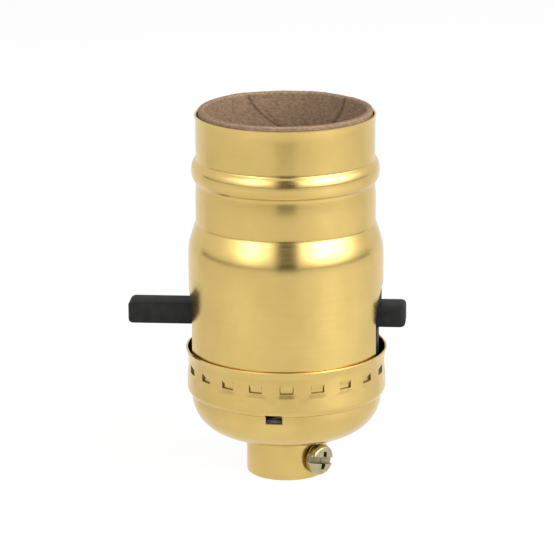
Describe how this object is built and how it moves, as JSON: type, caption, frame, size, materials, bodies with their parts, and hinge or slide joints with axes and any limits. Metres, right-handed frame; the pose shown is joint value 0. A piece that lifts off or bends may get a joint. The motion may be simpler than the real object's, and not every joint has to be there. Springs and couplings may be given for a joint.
{
  "type": "lamp socket",
  "caption": "Brass push-through lamp socket: drawn shell with rolled bead, spun cap with hub and set screw, insulating liner, push bar switch and Edison screw shell.",
  "frame": {"origin": "the flat top of the centre contact, on the socket's axis, where the lamp's own contact rests", "axes": "+Z along the socket's axis out of the lamp's mouth, +X along the push bar in the way it travels, -Y to the front with the set screw at the front right"},
  "size_m": [0.051, 0.037, 0.0684],
  "materials": {
    "polished_brass": "satin spun brass",
    "liner_paper": "matt grey-brown paper tube",
    "grey_fibre": "matt vulcanised fibre",
    "black_phenolic": "satin black phenolic",
    "rocker_moulding": "matt dark moulding",
    "aluminium": "drawn aluminium",
    "yellow_zinc": "pale yellow zinc plate on steel",
    "nickel_plate": "nickel-plated brass",
    "contact_brass": "plain rolled brass",
    "steel": "plain steel"
  },
  "bodies": {
    "socket": {"outer_shell": "polished_brass", "cap": "polished_brass", "threaded_hub": "polished_brass", "insulating_liner": "liner_paper", "cap_liner": "grey_fibre", "switch_base": "black_phenolic", "switch_housing": "black_phenolic", "screw_shell": "aluminium", "centre_contact": "contact_brass", "hot_terminal": "contact_brass", "hot_screw": "contact_brass", "neutral_terminal": "nickel_plate", "neutral_screw": "nickel_plate", "rocker_pin": "steel", "snap_spring": "steel", "shell_screw_front": "steel", "shell_screw_back": "steel", "body_screw_left": "steel", "body_screw_right": "steel"},
    "push_bar": {"push_bar": "black_phenolic"},
    "rocker": {"switch_rocker": "rocker_moulding", "moving_contact": "contact_brass"},
    "set_screw": {"set_screw": "yellow_zinc"}
  },
  "joints": [
    {"name": "push_bar_slide", "type": "slide", "parent": "socket", "child": "push_bar", "axis": [1, 0, 0], "range_m": [0, 0.00695]},
    {"name": "rocker_tilt", "type": "hinge", "parent": "socket", "child": "rocker", "pos_m": [0, 0, -0.01868], "axis": [0, 1, 0], "range_deg": [0, 45.43]},
    {"name": "set_screw_turn", "type": "hinge", "parent": "socket", "child": "set_screw", "pos_m": [0.00581, -0.00505, -0.03528], "axis": [0.7547, -0.6561, 0], "range_deg": [0, 1080]}
  ],
  "couplings": [
    {"joint": "rocker_tilt", "follows": "push_bar_slide", "rad_per_m": 114.07}
  ]
}
